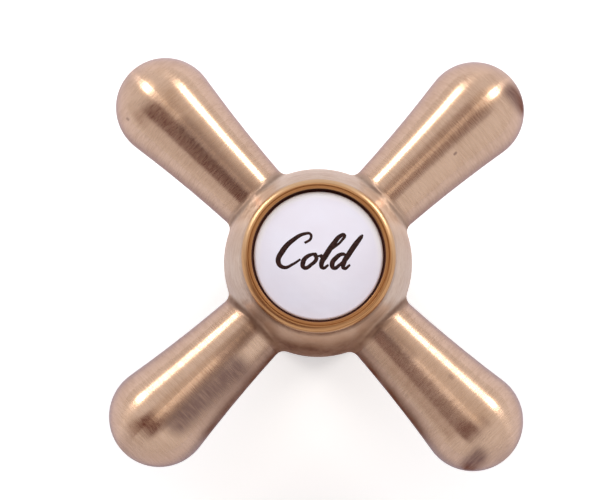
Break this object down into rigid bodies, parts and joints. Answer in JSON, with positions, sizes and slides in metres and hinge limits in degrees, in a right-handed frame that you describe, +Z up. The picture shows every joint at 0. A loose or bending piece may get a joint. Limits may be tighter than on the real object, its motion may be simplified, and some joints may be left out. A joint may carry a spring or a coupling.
{
  "type": "cross-head tap handle",
  "caption": "Cross-head tap handle in brushed antique brass, with pear-shaped arms round a ball hub and a porcelain index in a brass bezel.",
  "frame": {"origin": "middle of the foot's flat underside, on the spindle's axis", "axes": "+Z up the spindle towards the index; the arms point along the diagonals of X and Y; +Y is the top of the index"},
  "size_m": [0.0534, 0.0534, 0.0294],
  "materials": {
    "antique_brass": "brushed round each arm, antiqued, lacquered",
    "polished_brass": "turned and polished",
    "black_rubber": "matt",
    "porcelain": "glossy white glaze",
    "screw_steel": "plain"
  },
  "bodies": {
    "root": {"cross_body": "antique_brass", "index_bezel": "polished_brass", "index_seal": "black_rubber", "index_disc": "porcelain", "fixing_screw": "screw_steel"}
  },
  "joints": []
}
